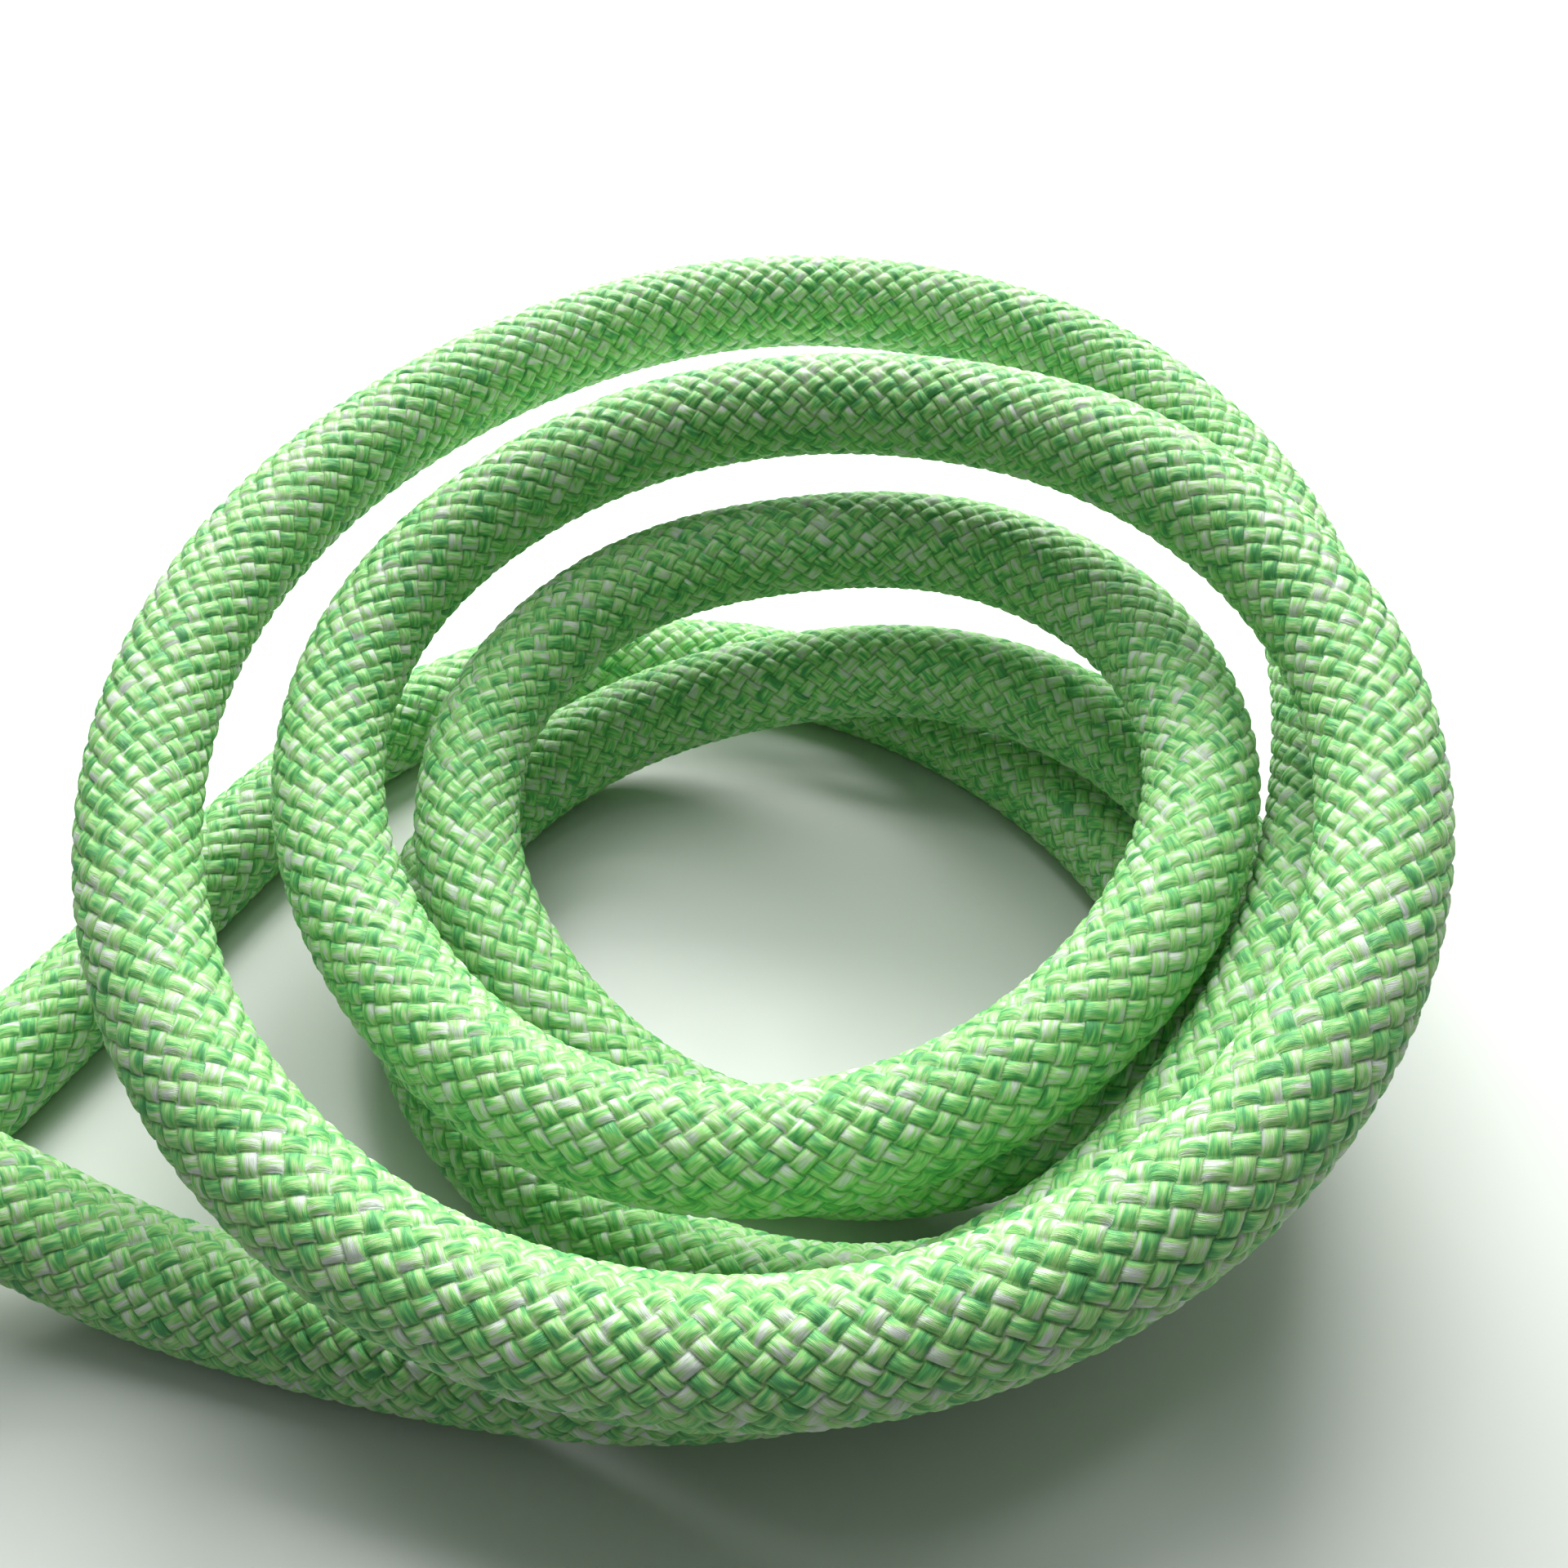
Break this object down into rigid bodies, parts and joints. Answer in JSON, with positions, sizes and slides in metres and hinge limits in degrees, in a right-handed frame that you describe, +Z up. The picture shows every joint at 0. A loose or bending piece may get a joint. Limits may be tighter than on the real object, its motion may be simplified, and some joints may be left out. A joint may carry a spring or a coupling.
{
  "type": "dynamic climbing rope",
  "caption": "Short length of kernmantle climbing rope lying in a small loose coil, one tail with a sealed end and the rest wound into a neat strapped coil.",
  "frame": {"origin": "on the floor under the middle of the whole part's bounding box", "axes": "+Z up from the floor; the picture looks along +Y and down, with the loose coil at +X and the stored coil at -X"},
  "size_m": [0.2855, 0.1573, 0.0469],
  "materials": {
    "green_melange_sheath": "woven nylon sheath, mixed pale, yellow-green and green yarns, satin",
    "white_core": "plain white twisted nylon cords, matt",
    "melted_end": "melted and rounded nylon, semi-matt",
    "clear_sleeve": "plain shrink sleeve, satin",
    "grey_strap": "woven hook-and-loop strap, matt"
  },
  "bodies": {
    "root": {"loose_coil_sheath": "green_melange_sheath", "loose_coil_core": "white_core", "lower_tail_sheath": "green_melange_sheath", "lower_tail_core": "white_core", "upper_tail_sheath": "green_melange_sheath", "upper_tail_core": "white_core", "stored_coil_sheath": "green_melange_sheath", "stored_coil_core": "white_core", "tail_end_seal": "melted_end", "stored_end_seal": "melted_end", "tail_end_sleeve": "clear_sleeve", "stored_end_sleeve": "clear_sleeve", "storage_strap": "grey_strap"}
  },
  "joints": []
}
